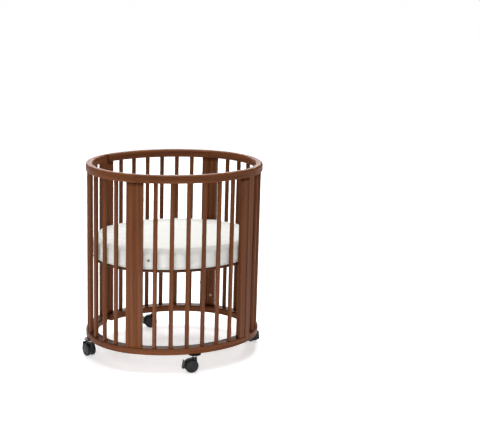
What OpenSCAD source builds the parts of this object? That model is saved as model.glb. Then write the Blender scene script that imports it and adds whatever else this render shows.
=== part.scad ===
// Oval slatted baby crib on four braked twin-wheel casters.
// Origin on the floor under the middle of the oval, +X along the length, front towards -Y, +Z up.

/* [Oval plan] */
// Length over the outside of the top rail
rail_length = 800; // [700:10:1000]
// Width over the outside of the top rail
rail_width = 660; // [560:10:760]
// Radius of the two long arcs, measured on the slat line
side_radius = 470; // [400:5:700]

/* [Top rail] */
// Height of the rail's top above the floor
rail_top = 880; // [800:5:950]
// Height of the rail's section
rail_height = 35; // [25:1:50]
// Width of the rail's section
rail_thick = 31; // [25:1:45]
// Radius of the rail's upper edges
rail_upper_round = 10; // [3:0.5:14]
// Radius of the rail's lower edges
rail_lower_round = 4.5; // [2:0.5:6]

/* [Base ring] */
// Height of the ring's underside above the floor
ring_bottom = 84; // [70:1:120]
// Height of the ring's section
ring_height = 29; // [20:1:40]
// Width of the ring's section, outer face in line with the rail's
ring_thick = 48; // [36:1:60]
// Radius of the ring's upper edges
ring_upper_round = 5; // [2:0.5:5.5]
// Radius of the ring's lower edges
ring_lower_round = 3; // [2:0.5:6]

/* [Slats] */
// Diameter of a slat
slat_diameter = 19; // [12:0.5:25]
// Distance between slats on the long sides, along the arc
side_pitch = 71; // [55:0.5:78]
// Distance between slats on the ends, along the arc
end_pitch = 66; // [55:0.5:78]

/* [Corner boards] */
// Width of one board along the arc
board_width = 36; // [25:1:50]
// How far the boards reach in from the slat line
board_inside = 8.5; // [6:0.5:15]
// How far a board under the rail reaches out from the slat line
board_outside = 13.5; // [8:0.5:15]
// Size of the bevel down the boards' upright edges
board_bevel = 2.5; // [1:0.5:5]

/* [Mattress] */
// Height of the mattress base's underside
base_bottom = 449; // [150:1:500]
// Thickness of the mattress base
base_thick = 8; // [5:1:18]
// Thickness of the mattress
mattress_thick = 90; // [50:5:120]
// How far the mattress base stays inside the slat line
base_inset = 18; // [12:1:30]
// How far the mattress stays inside the slat line
mattress_inset = 11; // [10.5:0.5:30]
// Radius of the mattress's edges
mattress_round = 14; // [5:1:30]

/* [Fittings] */
// Height of the upper bolts that join the two halves
bolt_high = 767; // [600:1:820]
// Height of the lower bolts that join the two halves
bolt_low = 224; // [130:1:300]
// Diameter of a bolt's head
bolt_head = 10; // [6:0.5:14]
// Height of the inserts for the low mattress position
insert_height = 167; // [130:1:300]
// Diameter of an insert
insert_diameter = 11; // [8:0.5:14]
// Width of a bracket under the mattress base
bracket_width = 20; // [12:1:30]

/* [Casters] */
// Diameter of a caster wheel
wheel_diameter = 60; // [40:1:75]
// Width of one of a caster's two wheels
wheel_width = 14; // [8:0.5:20]
// Distance from the swivel axis back to the axle
trail = 15; // [8:1:25]
// Diameter of the round plate under the ring
plate_diameter = 58; // [40:1:70]
// How far the caster plates stand outside the slat line
plate_outset = 3; // [0:1:10]
// Thickness of the web between the two wheels
web_thick = 12; // [8:0.5:16]
// Diameter of the axle
axle_diameter = 6; // [4:0.5:8]
// Width of the brake pedal's blade
pedal_width = 26; // [16:1:40]

/* [Hidden] */
$fa = 3;
$fs = 1.2;
half_rail = rail_thick / 2;
a = rail_length / 2 - half_rail;
b = rail_width / 2 - half_rail;
end_radius = (2 * side_radius * b - a * a - b * b) / (2 * (side_radius - a));
side_centre = side_radius - b;
end_centre = a - end_radius;
end_half = atan2(side_centre, end_centre);
side_half = 90 - end_half;
rail_bottom = rail_top - rail_height;
ring_top = ring_bottom + ring_height;
wheel_radius = wheel_diameter / 2;
mattress_bottom = base_bottom + base_thick;
ring_inner = half_rail - ring_thick;
// Panels: front, right, back, left
FRONT = 0;
RIGHT = 1;
BACK = 2;
LEFT = 3;
panel_mid = [-90, 0, 90, 180];
panel_half = [side_half, end_half, side_half, end_half];
panel_radius = [side_radius, end_radius, side_radius, end_radius];
panel_centre = [[0, side_centre], [end_centre, 0], [0, -side_centre], [-end_centre, 0]];
caster_angle = [0, 106, 0, -74];
caster_place = [[0, -b - plate_outset], [a + plate_outset, 0], [0, b + plate_outset], [-a - plate_outset, 0]];

/* [Show] */
// Part to draw

/* [Hidden] */
WALNUT = [0.42, 0.27, 0.19];
BLACK = [0.08, 0.08, 0.08];
STEEL = [0.72, 0.72, 0.7];
PLY = [0.5, 0.34, 0.25];
CLOTH = [0.93, 0.92, 0.89];

// Degrees on a panel's arc for a distance along it
function arc_degrees(panel, distance) = distance / panel_radius[panel] * 180 / PI;

// A rectangle from x0 to x1 and z0 to z1 with its own radius for the lower and upper corners
module rounded_section(x0, x1, z0, z1, lower, upper) {
  polygon([
    [x0 + lower, z0], [x1 - lower, z0], [x1, z0 + lower], [x1, z1 - upper],
    [x1 - upper, z1], [x0 + upper, z1], [x0, z1 - upper], [x0, z0 + lower]
  ]);
  for (x = [x0 + lower, x1 - lower]) translate([x, z0 + lower]) circle(lower);
  for (x = [x0 + upper, x1 - upper]) translate([x, z1 - upper]) circle(upper);
}

// Sweeps a section along a panel's arc; the section's x is measured out from the slat line
module sweep(panel, from, to) {
  translate(panel_centre[panel])
    rotate([0, 0, panel_mid[panel] + from])
      rotate_extrude(angle = to - from)
        translate([panel_radius[panel], 0]) children();
}

// Puts a child on a panel's slat line with its +X pointing out and its +Y along the arc
module on_arc(panel, degrees) {
  translate(panel_centre[panel])
    rotate([0, 0, panel_mid[panel] + degrees])
      translate([panel_radius[panel], 0, 0]) children();
}

// Each end panel's first board runs through from the ring's underside to the rail's top,
// so the end arcs of the rail and the ring start beside it
function arc_start(panel) =
  -panel_half[panel] + (panel == RIGHT || panel == LEFT ? arc_degrees(panel, board_width) : 0);

module top_rail(panel) {
  color(WALNUT) sweep(panel, arc_start(panel), panel_half[panel])
    rounded_section(-half_rail, half_rail, rail_bottom, rail_top, rail_lower_round, rail_upper_round);
}

module base_ring(panel) {
  color(WALNUT) sweep(panel, arc_start(panel), panel_half[panel])
    rounded_section(ring_inner, half_rail, ring_bottom, ring_top, ring_lower_round, ring_upper_round);
}

// Bevels the outer upright edge of a board where it stands at the given angle
module edge_bevel(panel, degrees, reach) {
  on_arc(panel, degrees) translate([reach, 0, ring_bottom - 1])
    rotate([0, 0, 45]) translate([-board_bevel / sqrt(2), -board_bevel / sqrt(2), 0])
      cube([board_bevel * sqrt(2), board_bevel * sqrt(2), rail_top - ring_bottom + 2]);
}

// A board between the ring and the rail; end = -1 at the panel's first seam, 1 at its last
module short_board(panel, end) {
  wide = arc_degrees(panel, board_width);
  seam = end * panel_half[panel];
  from = end < 0 ? seam : seam - wide;
  color(WALNUT) difference() {
    sweep(panel, from, from + wide)
      translate([-board_inside, ring_top])
        square([board_inside + board_outside, rail_bottom - ring_top]);
    edge_bevel(panel, from, board_outside);
    edge_bevel(panel, from + wide, board_outside);
  }
}

// The first board of an end panel, in line with the rail's and the ring's outer faces
module through_board(panel) {
  wide = arc_degrees(panel, board_width);
  color(WALNUT) difference() {
    sweep(panel, -panel_half[panel], -panel_half[panel] + wide) {
      rounded_section(-board_inside, half_rail, ring_bottom, rail_top, ring_lower_round, rail_upper_round);
    }
    intersection() {
      edge_bevel(panel, -panel_half[panel], half_rail);
      translate([0, 0, ring_top]) linear_extrude(rail_bottom - ring_top)
        square([1200, 1200], center = true);
    }
  }
}

module slat(panel, number, count, pitch) {
  color(WALNUT) on_arc(panel, arc_degrees(panel, (number - (count + 1) / 2) * pitch))
    translate([0, 0, ring_top]) cylinder(d = slat_diameter, h = rail_bottom - ring_top);
}

module slat_front(number) { slat(FRONT, number, 6, side_pitch); }
module slat_back(number) { slat(BACK, number, 6, side_pitch); }
module slat_right(number) { slat(RIGHT, number, 7, end_pitch); }
module slat_left(number) { slat(LEFT, number, 7, end_pitch); }

// Plan of the slat line moved in: each panel's slice of its own circle, meeting on the seams
module oval_plan(inset) {
  for (panel = [FRONT, RIGHT, BACK, LEFT])
    translate(panel_centre[panel]) rotate([0, 0, panel_mid[panel]]) intersection() {
      circle(panel_radius[panel] - inset);
      polygon([
        [0, 0], 900 * [cos(panel_half[panel]), -sin(panel_half[panel])],
        [1800, 0], 900 * [cos(panel_half[panel]), sin(panel_half[panel])]
      ]);
    }
}

// A flat oval body whose edges are stepped to a round in a few thin plates
module oval_slab(inset, bottom, thick, edge, steps) {
  for (step = [0:steps]) {
    rise = edge * (1 - cos(step * 90 / steps));
    back = edge * (1 - sin(step * 90 / steps));
    translate([0, 0, bottom + rise]) linear_extrude(thick - 2 * rise) oval_plan(inset + back);
  }
}

module mattress_base() {
  color(PLY) translate([0, 0, base_bottom]) linear_extrude(base_thick) oval_plan(base_inset);
}

module mattress() {
  color(CLOTH) oval_slab(mattress_inset, mattress_bottom, mattress_thick, mattress_round, 2);
}

// Calls its child at the middle of each end panel board, on the slat line
module at_end_boards() {
  for (panel = [RIGHT, LEFT], end = [-1, 1])
    on_arc(panel, end * (panel_half[panel] - arc_degrees(panel, board_width / 2))) children();
}

// Angle brackets that carry the mattress base, each with its screw into the board
module support_brackets() {
  leg = 22;
  sheet = 2.5;
  gap = 0.3;
  color(STEEL) at_end_boards() {
    translate([-board_inside - gap - leg, -bracket_width / 2, base_bottom - sheet])
      cube([leg, bracket_width, sheet]);
    translate([-board_inside - gap - sheet, -bracket_width / 2, base_bottom - leg])
      cube([sheet, bracket_width, leg]);
    translate([-board_inside - gap - sheet - 2, 0, base_bottom - 14])
      rotate([0, 90, 0]) cylinder(d = 9, h = 2.2);
    translate([-board_inside - gap - sheet - 1, 0, base_bottom - 14])
      rotate([0, 90, 0]) cylinder(d = 5, h = 18);
  }
}

// Threaded inserts in the inner faces of the end boards for the low mattress position
module level_inserts() {
  color(STEEL) at_end_boards()
    translate([-board_inside - 0.8, 0, insert_height]) rotate([0, 90, 0]) difference() {
      cylinder(d = insert_diameter, h = 13);
      translate([0, 0, -1]) cylinder(d = 6, h = 11);
    }
}

// Bolts through each long side's first board into the end board beside it
module connector_bolts() {
  color(STEEL) for (panel = [FRONT, BACK], z = [bolt_high, bolt_low])
    on_arc(panel, arc_degrees(panel, board_width) - panel_half[panel])
      translate([2, 0, z]) rotate([90, 0, 0]) {
        translate([0, 0, -2.4]) difference() {
          cylinder(d = bolt_head, h = 3);
          translate([0, 0, -1]) cylinder(d = 5, h = 2.6, $fn = 6);
        }
        cylinder(d = 6, h = board_width + 20);
      }
}

// Round plates screwed under the ring, each with the collar and pin its caster turns on
module caster_plates() {
  rim = plate_diameter / 2;
  color(BLACK) for (place = caster_place)
    translate(place) rotate_extrude() polygon([
      [0, ring_bottom - 34], [4, ring_bottom - 34], [4, ring_bottom - 16], [6.5, ring_bottom - 16],
      [6.5, ring_bottom - 9], [10, ring_bottom - 8], [rim - 4, ring_bottom - 5.5],
      [rim, ring_bottom - 3.5], [rim, ring_bottom], [0, ring_bottom]
    ]);
}

// Puts a child at a caster: +Z on its swivel axis, the wheels behind it towards -X
module at_caster(panel) {
  translate(caster_place[panel]) rotate([0, 0, caster_angle[panel]]) children();
}

pedal_pivot = [-trail - 26, 40];

// Side view of the web between the wheels: a mudguard arc with a block up to the swivel pin
module web_section() {
  intersection() {
    translate([-trail, wheel_radius]) circle(wheel_radius + 3);
    polygon([[-70, 26], [-34, 12], [11, 22], [11, 70], [-70, 70]]);
  }
  translate([-12, 40]) square([23, 26]);
}

module caster_fork(panel) {
  pin_bottom = ring_bottom - 34;
  color(BLACK) at_caster(panel) difference() {
    union() {
      rotate([90, 0, 0]) translate([0, 0, -web_thick / 2]) linear_extrude(web_thick) web_section();
      translate([0, 0, 61.5]) cylinder(d = 20, h = 6);
    }
    translate([0, 0, pin_bottom - 0.5]) cylinder(r = 4.06, h = 30);
    translate([-trail, 0, wheel_radius]) rotate([90, 0, 0])
      cylinder(d = axle_diameter + 0.12, h = web_thick + 2, center = true);
    translate([pedal_pivot[0], 0, pedal_pivot[1]]) rotate([90, 0, 0])
      cylinder(d = 4.12, h = web_thick + 2, center = true);
    translate([pedal_pivot[0] - 20, -3.3, 22]) cube([28.5, 6.6, 40]);
  }
}

// Section of one wheel from the axis out; the outer face has a hub boss and a dished web
module wheel_section() {
  half = web_thick / 2 + 0.5;
  polygon([
    [0, half], [wheel_radius - 2, half], [wheel_radius, half + 2],
    [wheel_radius, half + wheel_width - 5], [wheel_radius - 2, half + wheel_width - 1.5],
    [wheel_radius - 5, half + wheel_width], [wheel_radius - 8, half + wheel_width],
    [wheel_radius - 9, half + wheel_width - 1.5], [9, half + wheel_width - 1.5],
    [8, half + wheel_width], [0, half + wheel_width]
  ]);
}

module caster_wheels(panel) {
  color(BLACK) at_caster(panel) translate([-trail, 0, wheel_radius]) rotate([90, 0, 0]) {
    rotate_extrude() wheel_section();
    mirror([0, 0, 1]) rotate_extrude() wheel_section();
    cylinder(d = axle_diameter, h = web_thick + 4, center = true);
  }
}

// Side view of the pedal's two-tipped blade
module blade_section() {
  polygon([
    [-trail - 32.5, 46], [-trail - 32, 57], [-trail - 34, 58], [-trail - 36, 46],
    [-trail - 37, 38], [-trail - 40.5, 20], [-trail - 38.5, 19], [-trail - 33.5, 33]
  ]);
}

module brake_pedal(panel) {
  color(BLACK) at_caster(panel) rotate([90, 0, 0]) {
    translate([0, 0, -pedal_width / 2]) linear_extrude(pedal_width) blade_section();
    translate([0, 0, -3]) linear_extrude(6) {
      translate(pedal_pivot) circle(5);
      translate([pedal_pivot[0] - 9, pedal_pivot[1] - 5]) square([9, 10]);
    }
    translate([pedal_pivot[0], pedal_pivot[1], -web_thick / 2]) cylinder(d = 4, h = web_thick);
  }
}

top_rail(FRONT);  // top_rail_front
top_rail(RIGHT);  // top_rail_right
top_rail(BACK);  // top_rail_back
top_rail(LEFT);  // top_rail_left
base_ring(FRONT);  // base_ring_front
base_ring(RIGHT);  // base_ring_right
base_ring(BACK);  // base_ring_back
base_ring(LEFT);  // base_ring_left
short_board(FRONT, -1);  // board_front_left_side
short_board(LEFT, 1);  // board_front_left_end
short_board(FRONT, 1);  // board_front_right_side
through_board(RIGHT);  // board_front_right_end
short_board(BACK, -1);  // board_back_right_side
short_board(RIGHT, 1);  // board_back_right_end
short_board(BACK, 1);  // board_back_left_side
through_board(LEFT);  // board_back_left_end
slat_front(1);  // slat_front_1
slat_front(2);  // slat_front_2
slat_front(3);  // slat_front_3
slat_front(4);  // slat_front_4
slat_front(5);  // slat_front_5
slat_front(6);  // slat_front_6
slat_right(1);  // slat_right_1
slat_right(2);  // slat_right_2
slat_right(3);  // slat_right_3
slat_right(4);  // slat_right_4
slat_right(5);  // slat_right_5
slat_right(6);  // slat_right_6
slat_right(7);  // slat_right_7
slat_back(1);  // slat_back_1
slat_back(2);  // slat_back_2
slat_back(3);  // slat_back_3
slat_back(4);  // slat_back_4
slat_back(5);  // slat_back_5
slat_back(6);  // slat_back_6
slat_left(1);  // slat_left_1
slat_left(2);  // slat_left_2
slat_left(3);  // slat_left_3
slat_left(4);  // slat_left_4
slat_left(5);  // slat_left_5
slat_left(6);  // slat_left_6
slat_left(7);  // slat_left_7
mattress_base();
mattress();
support_brackets();
level_inserts();
connector_bolts();
caster_plates();
caster_fork(FRONT);  // caster_fork_front
caster_fork(RIGHT);  // caster_fork_right
caster_fork(BACK);  // caster_fork_back
caster_fork(LEFT);  // caster_fork_left
caster_wheels(FRONT);  // caster_wheels_front
caster_wheels(RIGHT);  // caster_wheels_right
caster_wheels(BACK);  // caster_wheels_back
caster_wheels(LEFT);  // caster_wheels_left
brake_pedal(FRONT);  // brake_pedal_front
brake_pedal(RIGHT);  // brake_pedal_right
brake_pedal(BACK);  // brake_pedal_back
brake_pedal(LEFT);  // brake_pedal_left
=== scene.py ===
import bmesh
import bpy
import math
import random
from mathutils import Vector, Matrix, noise


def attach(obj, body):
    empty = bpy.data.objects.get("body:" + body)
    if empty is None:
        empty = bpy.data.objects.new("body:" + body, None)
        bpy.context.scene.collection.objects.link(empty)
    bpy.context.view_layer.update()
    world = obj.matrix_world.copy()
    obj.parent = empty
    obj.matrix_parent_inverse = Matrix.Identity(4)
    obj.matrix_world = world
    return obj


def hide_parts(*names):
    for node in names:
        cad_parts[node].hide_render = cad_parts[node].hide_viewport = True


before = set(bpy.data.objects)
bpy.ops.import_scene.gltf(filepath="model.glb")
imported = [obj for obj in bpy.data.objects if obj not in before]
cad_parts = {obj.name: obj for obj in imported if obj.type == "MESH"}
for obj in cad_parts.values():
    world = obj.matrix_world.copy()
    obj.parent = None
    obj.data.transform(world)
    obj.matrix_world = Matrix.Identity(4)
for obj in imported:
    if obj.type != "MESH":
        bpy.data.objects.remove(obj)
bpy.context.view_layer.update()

# ---------------------------------------------------------------- the oval and its panels, in metres
HALF_RAIL = 0.0155
A, B, SIDE_R = 0.3845, 0.3145, 0.470
END_R = (2 * SIDE_R * B - A * A - B * B) / (2 * (SIDE_R - A))
SIDE_C, END_C = SIDE_R - B, A - END_R
END_HALF = math.atan2(SIDE_C, END_C)
SIDE_HALF = math.pi / 2 - END_HALF
RAIL_TOP, RAIL_BOTTOM = 0.880, 0.845
RING_BOTTOM, RING_TOP, RING_WIDTH = 0.084, 0.113, 0.048
BASE_BOTTOM, BASE_TOP, MATTRESS_TOP = 0.449, 0.457, 0.547
BOARD, BOARD_IN, BOARD_OUT = 0.036, 0.0085, 0.0135
SLAT_R = 0.0095
BASE_IN, MATTRESS_IN = 0.018, 0.011
BOLT_HEIGHTS, INSERT_HEIGHT = (0.767, 0.224), 0.167
TOP_ROUND, INNER_ROUND, FOOT_ROUND = 0.010, 0.005, 0.003    # along the rail's top and the ring's bottom
GAP = 0.0002                # left on each side of a joint between two pieces of wood
PANELS = {
    "front": ((0, SIDE_C), SIDE_R, -math.pi / 2, SIDE_HALF),
    "right": ((END_C, 0), END_R, 0.0, END_HALF),
    "back": ((0, -SIDE_C), SIDE_R, math.pi / 2, SIDE_HALF),
    "left": ((-END_C, 0), END_R, math.pi, END_HALF),
}
CASTERS = {
    "front": ((0, -B - 0.003), 0.0),
    "right": ((A + 0.003, 0), math.radians(106)),
    "back": ((0, B + 0.003), 0.0),
    "left": ((-A - 0.003, 0), math.radians(-74)),
}


def on_arc(panel, along, out=0.0):
    """The point a distance along a panel's slat line from its middle, and out from the line."""
    (cx, cy), r, mid, _ = PANELS[panel]
    a = mid + along / r
    return Vector((cx + (r + out) * math.cos(a), cy + (r + out) * math.sin(a), 0))


def half_length(panel):
    return PANELS[panel][1] * PANELS[panel][3]


def outline(inset, step=0.008):
    """The slat line moved in, as one closed loop of points, anticlockwise."""
    points = []
    for panel in ("front", "right", "back", "left"):
        n = max(8, round(2 * half_length(panel) / step))
        for i in range(n):
            points.append(on_arc(panel, half_length(panel) * (2 * i / n - 1), -inset))
    return points


# ---------------------------------------------------------------- node trees
class Tree:
    """Short names for building one material."""

    def __init__(self, name):
        self.material = bpy.data.materials.new(name)
        self.material.use_nodes = True
        self.nodes, self.links = self.material.node_tree.nodes, self.material.node_tree.links
        self.shader = self.nodes["Principled BSDF"]

    def add(self, kind, inputs=(), **settings):
        node = self.nodes.new("ShaderNode" + kind)
        for key, value in settings.items():
            setattr(node, key, value)
        for key, value in dict(inputs).items():
            self.put(node.inputs[key], value)
        return node

    def put(self, socket, value):
        if isinstance(value, bpy.types.NodeSocket):
            self.links.new(value, socket)
        else:
            socket.default_value = value

    def set(self, **values):
        for key, value in values.items():
            self.put(self.shader.inputs[key.replace("_", " ")], value)

    def ramp(self, fac, stops):
        node = self.add("ValToRGB", {0: fac})
        ramp = node.color_ramp
        while len(ramp.elements) < len(stops):
            ramp.elements.new(0.5)
        for element, (position, colour) in zip(ramp.elements, stops):
            element.position = position
            element.color = (*colour, 1) if isinstance(colour, tuple) else (colour,) * 3 + (1,)
        return node.outputs[0]

    def noise(self, vector, scale, detail=4.0, rough=0.55, distortion=0.0):
        return self.add("TexNoise", {"Vector": vector, "Scale": scale, "Detail": detail,
                                     "Roughness": rough, "Distortion": distortion}).outputs[0]

    def stretch(self, vector, scale):
        return self.add("Mapping", {"Vector": vector, "Scale": scale}).outputs[0]

    def math(self, operation, a, b):
        return self.add("Math", {0: a, 1: b}, operation=operation).outputs[0]

    def mix(self, fac, a, b, blend="MIX"):
        node = self.add("Mix", data_type="RGBA", blend_type=blend)
        for index, value in ((0, fac), (6, a), (7, b)):
            self.put(node.inputs[index], value)
        return node.outputs[2]

    def bump(self, height, distance, strength=1.0, normal=None):
        node = self.add("Bump", {"Height": height, "Distance": distance, "Strength": strength})
        if normal is not None:
            self.links.new(normal, node.inputs["Normal"])
        return node.outputs[0]


def wood(name, dark, light):
    """Stained walnut: streaks, growth bands and pores run along the first axis of the grain attribute."""
    t = Tree(name)
    grain = t.add("Attribute", attribute_name="grain").outputs["Vector"]
    piece = t.add("Attribute", attribute_name="tone").outputs["Fac"]
    bands = t.noise(t.stretch(grain, (2.2, 34, 34)), 1.0, 3.0, 0.5, 0.9)
    waves = t.add("TexWave", {"Vector": t.stretch(grain, (0.55, 26, 26)), "Scale": 1.0, "Distortion": 5.5,
                              "Detail": 3.0, "Detail Scale": 1.3}, wave_type="BANDS",
                  bands_direction="DIAGONAL").outputs["Fac"]
    streaks = t.noise(t.stretch(grain, (9, 420, 420)), 1.0, 5.0, 0.6)
    pores = t.noise(t.stretch(grain, (55, 1500, 1500)), 1.0, 2.0, 0.5)
    figure = t.math("ADD", t.math("MULTIPLY", bands, 0.5),
                    t.math("ADD", t.math("MULTIPLY", waves, 0.2), t.math("MULTIPLY", streaks, 0.3)))
    colour = t.ramp(figure, [(0.30, dark), (0.50, tuple((a + b) / 2 for a, b in zip(dark, light))),
                             (0.70, light)])
    pore = t.ramp(pores, [(0.58, 0.0), (0.68, 1.0)])
    colour = t.mix(t.math("MULTIPLY", pore, 0.30), colour, (*[c * 0.42 for c in dark], 1))
    blotch = t.noise(t.stretch(grain, (5, 7, 7)), 1.0, 2.0, 0.5)
    shade = t.math("MULTIPLY", t.math("ADD", t.math("MULTIPLY", blotch, 0.22), 0.89), piece)
    shade = t.add("CombineXYZ", {0: shade, 1: shade, 2: shade}).outputs[0]
    t.set(Base_Color=t.mix(1.0, colour, shade, "MULTIPLY"))
    rough = t.math("ADD", t.math("MULTIPLY", streaks, 0.16), 0.37)
    t.set(Roughness=t.math("ADD", rough, t.math("MULTIPLY", pore, 0.15)))
    t.set(Specular_IOR_Level=0.12)
    relief = t.math("SUBTRACT", t.math("MULTIPLY", streaks, 0.5), t.math("MULTIPLY", pore, 0.5))
    t.set(Normal=t.bump(relief, 0.00018, 0.7))
    return t.material


def plastic(name, colour, rough):
    """Moulded plastic with a fine spark-eroded texture and scuffs."""
    t = Tree(name)
    at = t.add("TexCoord").outputs["Object"]
    fine = t.noise(at, 2600.0, 2.0)
    scuff = t.noise(t.stretch(at, (60, 260, 60)), 1.0, 5.0, 0.7)
    tint = t.ramp(scuff, [(0.35, 0.88), (0.75, 1.18)])
    t.set(Base_Color=t.mix(1.0, (*colour, 1), tint, "MULTIPLY"))
    t.set(Roughness=t.math("ADD", t.math("MULTIPLY", scuff, 0.16), rough - 0.08))
    t.set(Normal=t.bump(fine, 0.00006, 0.8), Specular_IOR_Level=0.35)
    return t.material


def rubber(name, colour):
    t = Tree(name)
    at = t.add("TexCoord").outputs["Object"]
    wear = t.noise(at, 180.0, 5.0, 0.65)
    fine = t.noise(at, 1900.0, 3.0)
    t.set(Base_Color=t.mix(1.0, (*colour, 1), t.ramp(wear, [(0.3, 0.8), (0.8, 1.5)]), "MULTIPLY"))
    t.set(Roughness=t.math("ADD", t.math("MULTIPLY", wear, 0.2), 0.52))
    t.set(Normal=t.bump(fine, 0.00008, 0.8), Specular_IOR_Level=0.3)
    return t.material


def metal(name, colour, rough):
    """Zinc-plated steel, turned or rolled: fine brushing and cloudy patches."""
    t = Tree(name)
    at = t.add("TexCoord").outputs["Object"]
    cloud = t.noise(at, 220.0, 4.0)
    brush = t.noise(t.stretch(at, (400, 400, 6000)), 1.0, 2.0)
    t.set(Base_Color=t.mix(1.0, (*colour, 1), t.ramp(cloud, [(0.3, 0.86), (0.7, 1.06)]), "MULTIPLY"))
    t.set(Metallic=1.0, Roughness=t.math("ADD", t.math("MULTIPLY", cloud, 0.18), rough - 0.08))
    t.set(Normal=t.bump(brush, 0.00003, 0.6))
    return t.material


def cotton(name, colour):
    """Woven cotton: threads, slubs and soft creases as bump, and faint unevenness from washing."""
    t = Tree(name)
    at = t.add("TexCoord").outputs["Object"]

    def threads(direction):
        return t.add("TexWave", {"Vector": at, "Scale": 260.0, "Distortion": 0.6, "Detail": 1.0},
                     wave_type="BANDS", bands_direction=direction).outputs["Fac"]
    weave = t.math("ADD", t.math("MULTIPLY", threads("X"), threads("Y")),
                   t.math("MULTIPLY", threads("Z"), 0.6))
    slub = t.noise(at, 900.0, 3.0, 0.6)
    cloud = t.noise(at, 9.0, 3.0)
    patches = t.math("ADD", t.math("MULTIPLY", cloud, 0.7), t.math("MULTIPLY", slub, 0.3))
    tint = t.ramp(patches, [(0.3, 0.955), (0.65, 1.0)])
    t.set(Base_Color=t.mix(1.0, (*colour, 1), tint, "MULTIPLY"))
    t.set(Roughness=0.92, Sheen_Weight=0.25, Sheen_Roughness=0.5, Specular_IOR_Level=0.25)
    crumple = t.noise(t.stretch(at, (13, 20, 13)), 1.0, 2.5, 0.5, 1.4)
    woven = t.bump(weave, 0.00022, 0.55, t.bump(crumple, 0.009, 0.45))
    t.set(Normal=t.bump(slub, 0.0002, 0.5, woven))
    return t.material


WALNUT = wood("walnut", (0.105, 0.0310, 0.0090), (0.186, 0.0605, 0.0200))
PLY = wood("stained_ply", (0.090, 0.028, 0.009), (0.150, 0.050, 0.018))
BLACK = plastic("caster_black", (0.0085, 0.0085, 0.009), 0.40)
CAP = plastic("wheel_cap_black", (0.0075, 0.0075, 0.008), 0.34)
TREAD = rubber("wheel_tread", (0.0095, 0.0095, 0.0095))
ZINC = metal("zinc_steel", (0.66, 0.66, 0.64), 0.34)
# a near-black finish for the disc in the vent hole: painted shade standing in for the hole's shadowed inside
HOLE_SHADE = plastic("painted_hole_shade", (0.012, 0.010, 0.009), 0.7)
COTTON = cotton("mattress_cotton", (0.815, 0.818, 0.785))
THREAD = cotton("mattress_welt", (0.76, 0.76, 0.73))


# ---------------------------------------------------------------- meshes
def mesh_object(name, verts, faces):
    mesh = bpy.data.meshes.new(name)
    mesh.from_pydata([tuple(v) for v in verts], [], faces)
    mesh.validate()
    obj = bpy.data.objects.new(name, mesh)
    bpy.context.scene.collection.objects.link(obj)
    return obj


def apply_all(obj):
    """Puts the evaluated mesh in place of the object's modifiers."""
    bpy.context.view_layer.update()
    done = bpy.data.meshes.new_from_object(obj.evaluated_get(bpy.context.evaluated_depsgraph_get()))
    obj.modifiers.clear()
    obj.data = done
    return obj


def face_outwards(obj, weld=0.0):
    """Turns every face outwards, once points closer together than weld are one."""
    bm = bmesh.new()
    bm.from_mesh(obj.data)
    if weld:
        bmesh.ops.remove_doubles(bm, verts=bm.verts, dist=weld)
    bmesh.ops.recalc_face_normals(bm, faces=bm.faces)
    bm.to_mesh(obj.data)
    bm.free()


def finish_edges(obj, width, segments=2, angle=38):
    """Rounds an object's sharp edges and weights its normals by face."""
    for polygon in obj.data.polygons:
        polygon.use_smooth = True
    if width:
        bevel = obj.modifiers.new("edges", "BEVEL")
        bevel.width, bevel.segments, bevel.limit_method = width, segments, "ANGLE"
        bevel.angle_limit = math.radians(angle)
        bevel.miter_outer = "MITER_ARC"
    weighted = obj.modifiers.new("normals", "WEIGHTED_NORMAL")
    weighted.mode, weighted.weight, weighted.keep_sharp = "FACE_AREA", 100, False
    return apply_all(obj)


def smooth(obj, angle=34):
    for polygon in obj.data.polygons:
        polygon.use_smooth = True
    obj.data.set_sharp_from_angle(angle=math.radians(angle))
    return obj


def join(name, objs):
    """One object from several, where they stand."""
    bpy.context.view_layer.update()
    verts, faces, owner, materials = [], [], [], []
    for o in objs:
        base = len(verts)
        verts += [o.matrix_world @ v.co for v in o.data.vertices]
        material = o.data.materials[0] if o.data.materials else None
        if material not in materials:
            materials.append(material)
        for p in o.data.polygons:
            faces.append([base + i for i in p.vertices])
            owner.append(materials.index(material))
        bpy.data.objects.remove(o)
    obj = mesh_object(name, verts, faces)
    for m in materials:
        if m:
            obj.data.materials.append(m)
    for p, k in zip(obj.data.polygons, owner):
        p.material_index = k
    return obj


def rounded(x0, x1, y0, y1, radii, n=6):
    """A rectangle's outline, anticlockwise from its lower left corner, with a radius for each corner."""
    corners = ((x0, y0, 1, 1, 180), (x1, y0, -1, 1, 270), (x1, y1, -1, -1, 0), (x0, y1, 1, -1, 90))
    points = []
    for (x, y, sx, sy, start), r in zip(corners, radii):
        cx, cy = x + sx * r, y + sy * r
        for i in range(n + 1):
            a = math.radians(start + 90 * i / n)
            points.append((cx + r * math.cos(a), cy + r * math.sin(a)))
    return points


def tube_faces(rows, count, closed=True, caps=True):
    faces = []
    for i in range(rows - 1):
        for j in range(count if closed else count - 1):
            k = (j + 1) % count
            faces.append([i * count + j, i * count + k, (i + 1) * count + k, (i + 1) * count + j])
    if caps:
        faces.append(list(range(count))[::-1])
        faces.append([(rows - 1) * count + j for j in range(count)])
    return faces


def sweep(name, panel, start, end, section, steps):
    """A section swept along a panel's arc, from one distance along it to another."""
    verts = []
    for i in range(steps + 1):
        s = start + (end - start) * i / steps
        verts += [on_arc(panel, s, out) + Vector((0, 0, z)) for out, z in section]
    faces = [f[::-1] for f in tube_faces(steps + 1, len(section))]
    return mesh_object(name, verts, faces)


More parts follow.
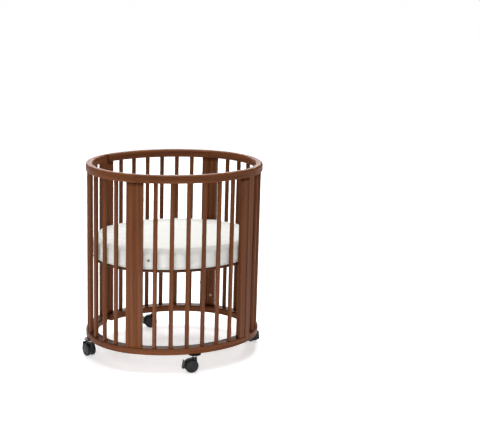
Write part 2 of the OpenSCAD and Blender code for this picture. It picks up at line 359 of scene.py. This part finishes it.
def lathe(name, profile, segments, axis="Z"):
    """A profile of (radius, height) turned about an axis; a radius of 0 closes it."""
    verts, faces = [], []
    for i in range(segments):
        a = 2 * math.pi * i / segments
        verts += [Vector((r * math.cos(a), r * math.sin(a), h)) for r, h in profile]
    count = len(profile)
    for i in range(segments):
        k = (i + 1) % segments
        for j in range(count - 1):
            faces.append([i * count + j, k * count + j, k * count + j + 1, i * count + j + 1])
    obj = mesh_object(name, verts, faces)
    face_outwards(obj, 1e-6)
    if axis == "Y":
        obj.data.transform(Matrix.Rotation(-math.pi / 2, 4, "X"))
    return obj


def extrude_xz(name, points, y0, y1):
    """An outline in X and Z, given thickness along Y."""
    verts = [Vector((x, y0, z)) for x, z in points] + [Vector((x, y1, z)) for x, z in points]
    n = len(points)
    faces = [list(range(n)), [n + i for i in range(n)][::-1]]
    faces += [[i, n + i, n + (i + 1) % n, (i + 1) % n] for i in range(n)]
    obj = mesh_object(name, verts, faces)
    face_outwards(obj)
    return obj


def prism(name, points, z0, z1):
    verts = [Vector((p[0], p[1], z0)) for p in points] + [Vector((p[0], p[1], z1)) for p in points]
    n = len(points)
    faces = [list(range(n))[::-1], [n + i for i in range(n)]]
    faces += [[i, (i + 1) % n, n + (i + 1) % n, n + i] for i in range(n)]
    return mesh_object(name, verts, faces)


def place(obj, node, body="frame", material=None):
    """Gives an object its material and body, and hides the node it stands for, if any."""
    if material is not None:
        obj.data.materials.clear()
        obj.data.materials.append(material)
    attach(obj, body)
    if node:
        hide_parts(node)
    return obj


def put_grain(obj, rule, seed):
    """Stores where each point lies in its own length of timber, and how dark that length is."""
    rng = random.Random(seed)
    shift = Vector((rng.uniform(0, 40), rng.uniform(0, 40), rng.uniform(0, 40)))
    shade = rng.uniform(0.93, 1.07)
    places = [Vector(rule(v.co)) + shift for v in obj.data.vertices]
    grain = obj.data.attributes.new("grain", "FLOAT_VECTOR", "POINT")
    for i, at in enumerate(places):
        grain.data[i].vector = at
    tone = obj.data.attributes.new("tone", "FLOAT", "POINT")
    for i in range(len(places)):
        tone.data[i].value = shade


def arc_rule(panel):
    (cx, cy), r, mid, _ = PANELS[panel]

    def rule(p):
        dx, dy = p.x - cx, p.y - cy
        turn = (math.atan2(dy, dx) - mid + math.pi) % (2 * math.pi) - math.pi
        return (turn * r, math.hypot(dx, dy) - r, p.z)
    return rule


def upright_rule(panel):
    arc = arc_rule(panel)

    def rule(p):
        along, out, z = arc(p)
        return (z, along, out)
    return rule


# ---------------------------------------------------------------- rail, ring, boards and slats
def arc_start(panel):
    return -half_length(panel) + (BOARD if panel in ("right", "left") else 0)


RAIL_SECTION = rounded(-HALF_RAIL, HALF_RAIL, RAIL_BOTTOM, RAIL_TOP,
                       (0.0045, 0.0045, TOP_ROUND, TOP_ROUND), 7)
RING_SECTION = rounded(HALF_RAIL - RING_WIDTH, HALF_RAIL, RING_BOTTOM, RING_TOP,
                       (FOOT_ROUND, FOOT_ROUND, 0.005, 0.005), 5)
for index, panel in enumerate(PANELS):
    for name, node, section, seed in (("rail_", "top_rail_", RAIL_SECTION, 10),
                                      ("ring_", "base_ring_", RING_SECTION, 20)):
        length = sweep(name + panel, panel, arc_start(panel) + GAP, half_length(panel) - GAP, section, 72)
        finish_edges(length, 0.0007)
        put_grain(length, arc_rule(panel), seed + index)
        place(length, node + panel, material=WALNUT)


def drawn_back(radius, past):
    """How far a round takes its face back, at a distance past the round's start."""
    along = max(0, past) / radius
    return radius * (1 - math.sqrt(max(0, 1 - along * along)))


def board(name, panel, end, through, seed):
    """One upright board, rounded down its edges; a through board has the rail's and the ring's rounds."""
    seam = end * half_length(panel)
    a, b = (seam, seam + BOARD) if end < 0 else (seam - BOARD, seam)
    out = HALF_RAIL if through else BOARD_OUT
    soft = (0.0012, 0.0025) if end < 0 else (0.0025, 0.0012)
    plan = rounded(a + GAP, b - GAP, -BOARD_IN, out, (0.0015, 0.0015, soft[1], soft[0]), 4)
    low, high = (RING_BOTTOM, RAIL_TOP) if through else (RING_TOP, RAIL_BOTTOM)
    levels = [low + (high - low) * i / 40 for i in range(41)]
    if through:
        levels = ([low + FOOT_ROUND * i / 4 for i in range(5)] + levels[2:-2]
                  + [high - TOP_ROUND + TOP_ROUND * math.sin(math.pi / 2 * i / 8) for i in range(9)])
    verts = []
    for z in levels:
        limit, inner = out, BOARD_IN
        if through:
            limit = min(out - drawn_back(TOP_ROUND, z - (high - TOP_ROUND)),
                        out - drawn_back(FOOT_ROUND, (low + FOOT_ROUND) - z))
            inner = BOARD_IN - drawn_back(INNER_ROUND, z - (high - INNER_ROUND))
        verts += [on_arc(panel, s, min(limit, max(-inner, o))) + Vector((0, 0, z)) for s, o in plan]
    obj = mesh_object(name, verts, tube_faces(len(levels), len(plan)))
    finish_edges(obj, 0.0)
    put_grain(obj, upright_rule(panel), seed)
    return obj


BOARDS = [
    ("board_front_left_side", "front", -1, False), ("board_front_left_end", "left", 1, False),
    ("board_front_right_side", "front", 1, False), ("board_front_right_end", "right", -1, True),
    ("board_back_right_side", "back", -1, False), ("board_back_right_end", "right", 1, False),
    ("board_back_left_side", "back", 1, False), ("board_back_left_end", "left", -1, True),
]
for index, (node, panel, end, through) in enumerate(BOARDS):
    upright = board("upright_" + node[6:], panel, end, through, 40 + index)
    place(upright, node, material=WALNUT)


def slat(name, centre, seed):
    """A turned slat with a slight shoulder where it enters the ring and the rail."""
    r, n = SLAT_R, 36
    levels = [(RING_TOP, r - 0.0006), (RING_TOP + 0.0012, r)]
    levels += [(RING_TOP + 0.0012 + (RAIL_BOTTOM - RING_TOP - 0.0024) * i / 24, r) for i in range(1, 25)]
    levels += [(RAIL_BOTTOM, r - 0.0006)]
    rng = random.Random(seed)
    turn, lean = rng.uniform(0, 6), rng.uniform(0, 6)
    verts = []
    for z, radius in levels:
        for j in range(n):
            a = 2 * math.pi * j / n
            verts.append(centre + Vector((radius * math.cos(a), radius * math.sin(a), z)))
    obj = mesh_object(name, verts, tube_faces(len(levels), n))
    smooth(obj, 40)
    c, s = math.cos(turn), math.sin(turn)

    def rule(p):
        x, y = p.x - centre.x, p.y - centre.y
        return (p.z, x * c - y * s + lean * 0.01, x * s + y * c)
    put_grain(obj, rule, seed)
    return obj


for index, panel in enumerate(PANELS):
    count, pitch = (6, 0.071) if panel in ("front", "back") else (7, 0.066)
    for number in range(1, count + 1):
        centre = on_arc(panel, (number - (count + 1) / 2) * pitch)
        spindle = slat(f"spindle_{panel}_{number}", centre, 100 + 10 * index + number)
        place(spindle, f"slat_{panel}_{number}", material=WALNUT)


# ---------------------------------------------------------------- fittings
def hex_recess(name, radius, height, across, deep, n=48):
    """A round head, standing up from z = 0, with a hexagon socket in its top."""
    circle = [Vector((math.cos(2 * math.pi * i / n), math.sin(2 * math.pi * i / n), 0)) for i in range(n)]
    hexagon = []
    for p in circle:
        a = math.atan2(p.y, p.x) % (math.pi / 3) - math.pi / 6
        hexagon.append(p * (across / 2 / math.cos(a)))
    z = Vector((0, 0, 1))
    bevel = min(0.0007, height / 3)
    rows = [[p * radius for p in circle], [p * radius + z * (height - bevel) for p in circle],
            [p * (radius - 0.3 * bevel) + z * (height - 0.3 * bevel) for p in circle],
            [p * (radius - bevel) + z * height for p in circle],
            [p * 1.06 + z * height for p in hexagon], [p + z * (height - 0.0002) for p in hexagon],
            [p + z * (height - deep) for p in hexagon]]
    obj = mesh_object(name, [v for row in rows for v in row], tube_faces(len(rows), n))
    return smooth(obj, 30)


def pointing(centre, direction):
    """A transform that takes +Z to a direction and the origin to a point."""
    return Matrix.Translation(centre) @ direction.to_track_quat("Z", "Y").to_matrix().to_4x4()


heads = []
for panel in ("front", "back"):
    for z in BOLT_HEIGHTS:
        s = BOARD - half_length(panel)
        at = on_arc(panel, s, 0.002) + Vector((0, 0, z))
        a = PANELS[panel][2] + s / PANELS[panel][1]
        tangent = Vector((-math.sin(a), math.cos(a), 0))
        head = hex_recess("head", 0.005, 0.0024, 0.0050, 0.0020)
        head.matrix_world = pointing(at, tangent)
        head.data.materials.append(ZINC)
        heads.append(head)
place(smooth(join("bolt_heads", heads), 30), "connector_bolts")


def end_board_places():
    for panel in ("right", "left"):
        (cx, cy), r, mid, _ = PANELS[panel]
        for end in (-1, 1):
            s = end * (half_length(panel) - BOARD / 2)
            a = mid + s / r
            out = Vector((math.cos(a), math.sin(a), 0))
            yield panel, s, out


bushes = []
for panel, s, out in end_board_places():
    at = on_arc(panel, s, -BOARD_IN) + Vector((0, 0, INSERT_HEIGHT))
    profile = [(0.0, -0.010), (0.0029, -0.010)]
    for i in range(9):
        profile += [(0.0026, -0.0098 + 0.001 * i), (0.0031, -0.0093 + 0.001 * i)]
    profile += [(0.0032, 0.0003), (0.0037, 0.0008), (0.0050, 0.0008), (0.0055, 0.0004), (0.0055, -0.0004)]
    bush = lathe("bush", profile, 48)
    bush.matrix_world = pointing(at, -out)
    bush.data.materials.append(ZINC)
    bushes.append(bush)
place(smooth(join("low_level_bushes", bushes), 30), "level_inserts")

brackets = []
for panel, s, out in end_board_places():
    sheet, leg, wide, gap = 0.0025, 0.022, 0.020, 0.0003
    at = on_arc(panel, s, -BOARD_IN - gap) + Vector((0, 0, BASE_BOTTOM))
    bend = [(-leg, -sheet), (-0.0055, -sheet), (-0.0035, -sheet - 0.0006), (-sheet - 0.0004, -0.0050),
            (-sheet, -leg), (0, -leg), (0, -0.0016), (-0.0016, 0), (-leg, 0)]
    plate = extrude_xz("plate", bend, -wide / 2, wide / 2)
    finish_edges(plate, 0.0004, 2, 30)
    side = Vector((-out.y, out.x, 0))
    turn = Matrix((out, side, Vector((0, 0, 1)))).transposed().to_4x4()
    plate.matrix_world = Matrix.Translation(at) @ turn
    screw = hex_recess("screw", 0.0045, 0.0022, 0.0042, 0.0018)
    screw.matrix_world = pointing(at - out * sheet + Vector((0, 0, -0.014)), -out)
    for o in (plate, screw):
        o.data.materials.append(ZINC)
        brackets.append(o)
place(smooth(join("base_brackets", brackets), 30), "support_brackets")

# ---------------------------------------------------------------- casters
AXLE = Vector((-0.015, 0, 0.030))
PIVOT = Vector((-0.041, 0, 0.040))


def cut_off(points, clip):
    """Draws the points past clip back to it, and keeps only the two ends of the cut."""
    drawn = [(max(x, clip), z) for x, z in points]
    apart = [p for i, p in enumerate(drawn)
             if i == 0 or abs(p[0] - drawn[i - 1][0]) + abs(p[1] - drawn[i - 1][1]) > 0.0004]

    def within(i):
        return all(apart[(i + step) % len(apart)][0] == clip for step in (-1, 0, 1))
    return [p for i, p in enumerate(apart) if not within(i)]


def fork_outline():
    """Side view of the web between the wheels."""
    points = [(0.011, 0.022), (0.011, 0.0645), (0.0095, 0.066), (-0.0105, 0.066), (-0.012, 0.0645)]
    for i in range(60):
        a = math.radians(84.8 + 120 * i / 59)
        x, z = AXLE.x + 0.033 * math.cos(a), AXLE.z + 0.033 * math.sin(a)
        if z < 0.026 - (x + 0.070) * (14 / 36):
            break
        points.append((x, z))
    points.append((-0.034, 0.012))
    return points


def fork():
    """The fork: a web of two cheeks and a core, a boss round the pin, and a pad on each side of the axle."""
    side = fork_outline()
    parts = [extrude_xz("cheek", side, 0.0033, 0.006), extrude_xz("cheek", side, -0.006, -0.0033),
             extrude_xz("core", cut_off(side, -0.0325), -0.0034, 0.0034)]
    for p in parts:
        finish_edges(p, 0.0006, 2, 30)
    boss = lathe("boss", [(0.0041, 0.060), (0.0105, 0.060), (0.0105, 0.0664), (0.0095, 0.0675),
                          (0.0041, 0.0675)], 48)
    pads = [lathe("pad", [(0.0, 0.0059), (0.0085, 0.0059), (0.0085, 0.0063), (0.0, 0.0063)], 40, "Y"),
            lathe("pad", [(0.0, -0.0063), (0.0085, -0.0063), (0.0085, -0.0059), (0.0, -0.0059)], 40, "Y")]
    for p in pads:
        p.data.transform(Matrix.Translation(AXLE))
    for p in [boss, *pads]:
        smooth(p, 30)
    for p in parts + [boss] + pads:
        p.data.materials.append(BLACK)
    return parts + [boss] + pads


def wheel(side):
    """One wheel: a soft tread with a fine groove, and a plastic cap with a rim, a hub and ribs."""
    h = 0.0065
    tread = [(0.0255, h), (0.0285, h), (0.0297, h + 0.0008), (0.0300, h + 0.0022), (0.0300, h + 0.0045),
             (0.02965, h + 0.0048), (0.02965, h + 0.0052), (0.0300, h + 0.0055), (0.0300, h + 0.0092),
             (0.0297, h + 0.0106), (0.0288, h + 0.0120), (0.0272, h + 0.0129), (0.0255, h + 0.0132),
             (0.0248, h + 0.0128)]
    cap = [(0.0251, h + 0.0126), (0.0247, h + 0.0135), (0.0238, h + 0.0139), (0.0225, h + 0.0139),
           (0.0215, h + 0.0134), (0.0210, h + 0.0124), (0.0200, h + 0.0121), (0.0120, h + 0.0126),
           (0.0105, h + 0.0130), (0.0098, h + 0.0137), (0.0085, h + 0.0140), (0.0, h + 0.0140)]
    back = [(0.0, h), (0.0256, h)]
    made = []
    for name, profile, material in (("tread", tread, TREAD), ("cap", cap, CAP), ("back", back, CAP)):
        o = lathe(name, profile, 72, "Y")
        if side < 0:
            o.data.transform(Matrix.Scale(-1, 4, Vector((0, 1, 0))))
            o.data.flip_normals()
        o.data.transform(Matrix.Translation(AXLE))
        smooth(o, 32)
        o.data.materials.append(material)
        made.append(o)
    low, high = sorted((side * (h + 0.0118), side * (h + 0.0134)))
    for i in range(5):
        a = 2 * math.pi * i / 5 + 0.3
        rib = extrude_xz("rib", [(0.0115, -0.0009), (0.0212, -0.0012), (0.0212, 0.0012), (0.0115, 0.0009)],
                         low, high)
        finish_edges(rib, 0.0004, 2, 30)
        rib.data.transform(Matrix.Translation(AXLE) @ Matrix.Rotation(a, 4, "Y"))
        rib.data.materials.append(CAP)
        made.append(rib)
    return made


def axle():
    o = lathe("axle", [(0.0, -0.007), (0.003, -0.007), (0.003, 0.007), (0.0, 0.007)], 32, "Y")
    o.data.transform(Matrix.Translation(AXLE))
    smooth(o, 30)
    o.data.materials.append(ZINC)
    return o


def wheels():
    return wheel(1) + wheel(-1) + [axle()]


def pedal():
    """The brake pedal: a two-tipped blade with grip ribs, a lug into the fork and its pin."""
    t = 0.015
    blade = [(-t - 0.0325, 0.046), (-t - 0.0322, 0.0520), (-t - 0.0320, 0.0568), (-t - 0.0328, 0.0578),
             (-t - 0.0340, 0.0576), (-t - 0.0350, 0.0520), (-t - 0.0360, 0.046), (-t - 0.0366, 0.042),
             (-t - 0.0370, 0.038), (-t - 0.0385, 0.030), (-t - 0.0405, 0.0205), (-t - 0.0401, 0.0193),
             (-t - 0.0388, 0.0192), (-t - 0.0372, 0.0235), (-t - 0.0350, 0.0300), (-t - 0.0335, 0.0330),
             (-t - 0.0326, 0.040)]
    body = extrude_xz("blade", blade, -0.013, 0.013)
    finish_edges(body, 0.0007, 3, 30)
    lug = extrude_xz("lug", rounded(PIVOT.x - 0.009, PIVOT.x + 0.005, PIVOT.z - 0.005, PIVOT.z + 0.005,
                                    (0.001, 0.0048, 0.0048, 0.001), 6), -0.003, 0.003)
    finish_edges(lug, 0.0004, 2, 30)
    pin = lathe("pin", [(0.0, -0.006), (0.0017, -0.006), (0.002, -0.0057), (0.002, 0.0057),
                        (0.0017, 0.006), (0.0, 0.006)], 32, "Y")
    pin.data.transform(Matrix.Translation(PIVOT))
    smooth(pin, 30)
    ribs = []
    for i in range(4):
        f = i / 3
        x, z = -t - 0.0385 - 0.0014 * f, 0.0290 - 0.0066 * f
        section = rounded(x - 0.0006, x + 0.0008, z - 0.0004, z + 0.0004, (0.0003,) * 4, 2)
        rib = extrude_xz("rib", section, -0.0115, 0.0115)
        smooth(rib, 30)
        ribs.append(rib)
    for p in [body, lug, *ribs]:
        p.data.materials.append(BLACK)
    pin.data.materials.append(ZINC)
    return [body, lug, pin, *ribs]


for name, ((x, y), turn) in CASTERS.items():
    at = Matrix.Translation((x, y, 0)) @ Matrix.Rotation(turn, 4, "Z")
    for make, node, slot, body in ((fork, "caster_fork_", "caster_black", "fork_"),
                                   (wheels, "caster_wheels_", "wheel_black", "wheels_"),
                                   (pedal, "brake_pedal_", "caster_black", "pedal_")):
        whole = smooth(join("shown_" + node + name, make()), 32)
        whole.data.transform(at)
        place(whole, node + name, body + name)

PLATE = [(0.0, 0.0760), (0.0085, 0.0760), (0.0112, 0.0763), (0.0180, 0.0772), (0.0250, 0.0785),
         (0.0272, 0.0792), (0.0285, 0.0800), (0.0290, 0.0810), (0.0290, 0.0832), (0.0286, 0.0838),
         (0.0278, 0.0840), (0.0, 0.0840)]
COLLAR = [(0.0, 0.0500), (0.0035, 0.0500), (0.0040, 0.0505), (0.0040, 0.0679), (0.0060, 0.0679),
          (0.0065, 0.0684), (0.0065, 0.0715), (0.0061, 0.0719), (0.0061, 0.0724), (0.0065, 0.0728),
          (0.0065, 0.0762)]
turned = []
for name, profile, segments, material in (("disc", PLATE, 72, BLACK), ("collar", COLLAR, 48, ZINC)):
    for (x, y), _ in CASTERS.values():
        o = lathe(name, profile, segments)
        o.data.transform(Matrix.Translation((x, y, 0)))
        o.data.materials.append(material)
        turned.append(smooth(o, 30))
place(smooth(join("shown_caster_plates", turned), 30), "caster_plates")

# ---------------------------------------------------------------- mattress base and mattress
base = prism("base_board", outline(BASE_IN), BASE_BOTTOM, BASE_TOP)
finish_edges(base, 0.0012, 3, 60)
put_grain(base, lambda p: (p.x, p.y, p.z), 70)
place(base, "mattress_base", "base_board", PLY)


def cushion(name, inset, bottom, top, edge, rings=16):
    """A flat oval body with rounded edges, in rings from the bottom's middle round to the top's."""
    rows = []
    middle = 0.30           # how far inside the edge the innermost ring lies, nearly at the centre
    for i in range(1, rings + 1):
        rows.append((middle * (1 - i / rings) + inset + edge, bottom))
    for i in range(1, 7):
        a = math.pi / 2 * i / 6
        rows.append((inset + edge * (1 - math.sin(a)), bottom + edge * (1 - math.cos(a))))
    for i in range(1, 8):
        rows.append((inset, bottom + edge + (top - bottom - 2 * edge) * i / 8))
    for i in range(7):
        a = math.pi / 2 * i / 6
        rows.append((inset + edge * (1 - math.cos(a)), top - edge * (1 - math.sin(a))))
    for i in range(rings - 1, 0, -1):
        rows.append((middle * (1 - i / rings) + inset + edge, top))
    verts = []
    for back, z in rows:
        verts += [p + Vector((0, 0, z)) for p in outline(back)]
    return mesh_object(name, verts, tube_faces(len(rows), len(verts) // len(rows)))


def inflate(obj, frames=22, sideways=0.0022, down=0.006, up=0.007):
    """Lets the cover fill out under pressure, and keeps every point close to where it started."""
    remesh = obj.modifiers.new("even", "REMESH")
    remesh.mode, remesh.voxel_size = "VOXEL", 0.0065
    apply_all(obj)
    start = [v.co.copy() for v in obj.data.vertices]
    pins = obj.vertex_groups.new(name="resting")
    for v in obj.data.vertices:
        if v.co.z < BASE_TOP + 0.004:
            pins.add([v.index], 1.0, "REPLACE")
    cloth = obj.modifiers.new("cover", "CLOTH")
    s = cloth.settings
    s.quality, s.mass, s.tension_stiffness, s.compression_stiffness = 5, 0.25, 9, 9
    s.shear_stiffness, s.bending_stiffness, s.air_damping = 4, 0.12, 2
    s.use_pressure, s.uniform_pressure_force = True, 4.0
    s.shrink_min = -0.014
    s.effector_weights.gravity = 0
    s.vertex_group_mass = "resting"
    cloth.collision_settings.use_collision = False
    scene = bpy.context.scene
    cloth.point_cache.frame_start, cloth.point_cache.frame_end = 1, frames
    for f in range(1, frames + 1):
        scene.frame_set(f)
    apply_all(obj)
    scene.frame_set(1)
    for v, rest in zip(obj.data.vertices, start):
        move = v.co - rest
        flat = Vector((move.x, move.y, 0))
        if flat.length > sideways:
            flat *= sideways / flat.length
        v.co = rest + flat + Vector((0, 0, max(-down, min(up, move.z))))
    return obj


def settle(obj):
    """The soft crown, the dips of a used filling, and the folds of the cover along the top's edge."""
    obj.data.update()
    normals = [v.normal.copy() for v in obj.data.vertices]
    for v, n in zip(obj.data.vertices, normals):
        p = v.co
        if p.z < BASE_TOP + 0.004:
            continue
        away = max(0.0, edge_distance(p))
        top = min(1.0, max(0.0, (p.z - MATTRESS_TOP + 0.030) / 0.022))
        near = math.exp(-((away - 0.095) / 0.045) ** 2)
        turn = math.atan2(p.y, p.x)
        near *= 0.65 + 0.35 * min(1.0, max(0.0, (abs(math.cos(turn)) - 0.35) / 0.4))
        dip = noise.fractal(Vector((p.x * 5.5, p.y * 5.5, 3.1)), 1.0, 2.0, 3) * 0.0028
        warp = noise.noise(Vector((p.x * 6, p.y * 6, 9.7))) * 0.9
        fold = noise.noise(Vector((turn * 5.2 + warp, away * 24 + warp, 5.3)))
        fine = noise.noise(Vector((turn * 13 + warp, away * 38 - warp, 8.9)))
        ridge = 0.0125 * (0.30 - abs(fold)) + 0.0045 * (0.25 - abs(fine))
        side = noise.noise(Vector((turn * 8, p.z * 30, 2.2))) * 0.0004
        v.co = p + n * (top * (dip * 0.6 + ridge * near) + (1 - top) * side)
    keep_inside(obj)
    return obj


def keep_inside(obj):
    """Draws back whatever stands past the mattress's outline."""
    for v in obj.data.vertices:
        over = -edge_distance(v.co)
        if over > 0:
            out = Vector((v.co.x, v.co.y, 0)).normalized()
            v.co -= out * over * 1.1


def edge_distance(p):
    """How far inside the mattress's outline a point is, near enough."""
    best = 1.0
    for panel, ((cx, cy), r, mid, half) in PANELS.items():
        dx, dy = p.x - cx, p.y - cy
        turn = (math.atan2(dy, dx) - mid + math.pi) % (2 * math.pi) - math.pi
        if abs(turn) <= half + 0.02:
            best = min(best, r - MATTRESS_IN - math.hypot(dx, dy))
    return best


mattress = cushion("mattress_cover", MATTRESS_IN + 0.0012, BASE_TOP + 0.0002, MATTRESS_TOP - 0.002, 0.020)
inflate(mattress)
settle(mattress)
soft = mattress.modifiers.new("soft", "SUBSURF")
soft.levels = soft.render_levels = 1
apply_all(mattress)
for polygon in mattress.data.polygons:
    polygon.use_smooth = True
place(mattress, "mattress", "mattress", COTTON)


def welt(name, inset, z, radius):
    """The rolled seam round the cover."""
    loop = outline(inset, 0.006)
    verts, n, k = [], len(loop), 8
    for i, p in enumerate(loop):
        wander = noise.noise(Vector((i * 0.13, z * 40, 1.7))) * 0.0007
        tangent = (loop[(i + 1) % n] - loop[i - 1]).normalized()
        side = Vector((tangent.y, -tangent.x, 0))
        pucker = 1 + 0.10 * math.sin(i * 2.1)
        for j in range(k):
            a = 2 * math.pi * j / k
            across, up = radius * pucker * math.cos(a), radius * pucker * math.sin(a)
            verts.append(p + side * (across + wander) + Vector((0, 0, z + wander + up)))
    faces = []
    for i in range(n):
        row, following = i * k, (i + 1) % n * k
        for j in range(k):
            beside = (j + 1) % k
            faces.append([following + j, following + beside, row + beside, row + j])
    obj = mesh_object(name, verts, faces)
    for polygon in obj.data.polygons:
        polygon.use_smooth = True
    return obj


seam = welt("welt_bottom", MATTRESS_IN + 0.0018, BASE_TOP + 0.009, 0.0011)
place(seam, None, "mattress", THREAD)

# a breathing eyelet in the side of the cover
EYELET_ALONG, EYELET_HEIGHT = -0.208, 0.502
spot = on_arc("front", EYELET_ALONG, -MATTRESS_IN - 0.0012) + Vector((0, 0, EYELET_HEIGHT))
facing = PANELS["front"][2] + EYELET_ALONG / SIDE_R
onto_side = pointing(spot, Vector((math.cos(facing), math.sin(facing), 0)))
eyelet = lathe("vent_eyelet", [(0.0042, -0.002), (0.0042, 0.0004), (0.0048, 0.0013), (0.0060, 0.0014),
                               (0.0070, 0.0008), (0.0074, -0.0012)], 48)
eyelet.data.transform(onto_side)
smooth(eyelet, 30)
place(eyelet, None, "mattress", ZINC)
# the vent hole is a flat dark disc set just inside the eyelet: painted shade where the open hole would be in
# shadow
hole = lathe("vent_hole_shade", [(0.0, -0.0004), (0.0044, -0.0004)], 32)
hole.data.transform(onto_side)
place(hole, None, "mattress", HOLE_SHADE)

# ---------------------------------------------------------------- stage, light and camera
bpy.context.scene.view_settings.view_transform = "Standard"
bpy.ops.mesh.primitive_plane_add(size=96)
floor = bpy.context.object
floor.name = "floor"
t = Tree("studio_floor")
away = t.add("VectorMath", {0: t.add("TexCoord").outputs["Object"]}, operation="LENGTH").outputs["Value"]
glow = t.add("MapRange", {"Value": away, "From Min": 1.2, "From Max": 6.0, "To Min": 0.56, "To Max": 0.84},
             interpolation_type="SMOOTHSTEP").outputs[0]
t.set(Base_Color=(0.92, 0.92, 0.925, 1), Roughness=0.7, Specular_IOR_Level=0.2)
t.set(Emission_Color=(1, 1, 1, 1), Emission_Strength=glow)
floor.data.materials.append(t.material)

bpy.ops.mesh.primitive_uv_sphere_add(radius=46, segments=64, ring_count=32)
dome = bpy.context.object
dome.name = "backdrop"
t = Tree("white_backdrop")
t.set(Base_Color=(0, 0, 0, 1), Specular_IOR_Level=0.0, Roughness=1.0)
t.set(Emission_Color=(1, 1, 1, 1), Emission_Strength=1.05)
dome.data.materials.append(t.material)
dome.visible_diffuse = dome.visible_glossy = dome.visible_transmission = dome.visible_shadow = False

world = bpy.data.worlds.new("studio")
bpy.context.scene.world = world
world.use_nodes = True
world.node_tree.nodes["Background"].inputs[0].default_value = (1, 1, 1, 1)
world.node_tree.nodes["Background"].inputs[1].default_value = 0.17


def light(name, at, aim, size, watts, colour=(1, 1, 1)):
    data = bpy.data.lights.new(name, "AREA")
    data.shape, data.size, data.size_y = "RECTANGLE", size[0], size[1]
    data.energy, data.color = watts, colour
    obj = bpy.data.objects.new(name, data)
    bpy.context.scene.collection.objects.link(obj)
    obj.location = at
    obj.rotation_euler = (Vector(aim) - Vector(at)).to_track_quat("-Z", "Y").to_euler()
    obj.visible_camera = False
    return obj


light("key", (-2.6, -2.2, 2.7), (0, 0, 0.4), (1.9, 1.9), 17, (1.0, 0.985, 0.96))
light("bounce", (-0.40, -0.95, 0.02), (0, -0.15, 0.30), (1.8, 0.4), 7.5)
light("top", (0.1, 0.2, 3.4), (0, 0, 0.4), (2.0, 1.8), 90)
light("back", (0.9, 4.6, 2.2), (0, 0, 0.8), (4.0, 1.4), 120)

camera = bpy.data.objects.new("camera", bpy.data.cameras.new("camera"))
bpy.context.scene.collection.objects.link(camera)
camera.location = (-1.530, -4.784, 1.811)
yaw, pitch, roll = math.radians(21.13), math.radians(13.35), math.radians(1.6)
camera.rotation_euler = (Matrix.Rotation(-yaw, 3, "Z") @ Matrix.Rotation(math.pi / 2 - pitch, 3, "X")
                         @ Matrix.Rotation(roll, 3, "Z")).to_euler()
camera.data.sensor_width = 36
camera.data.lens = 85.4
camera.data.clip_end = 400
bpy.context.scene.camera = camera
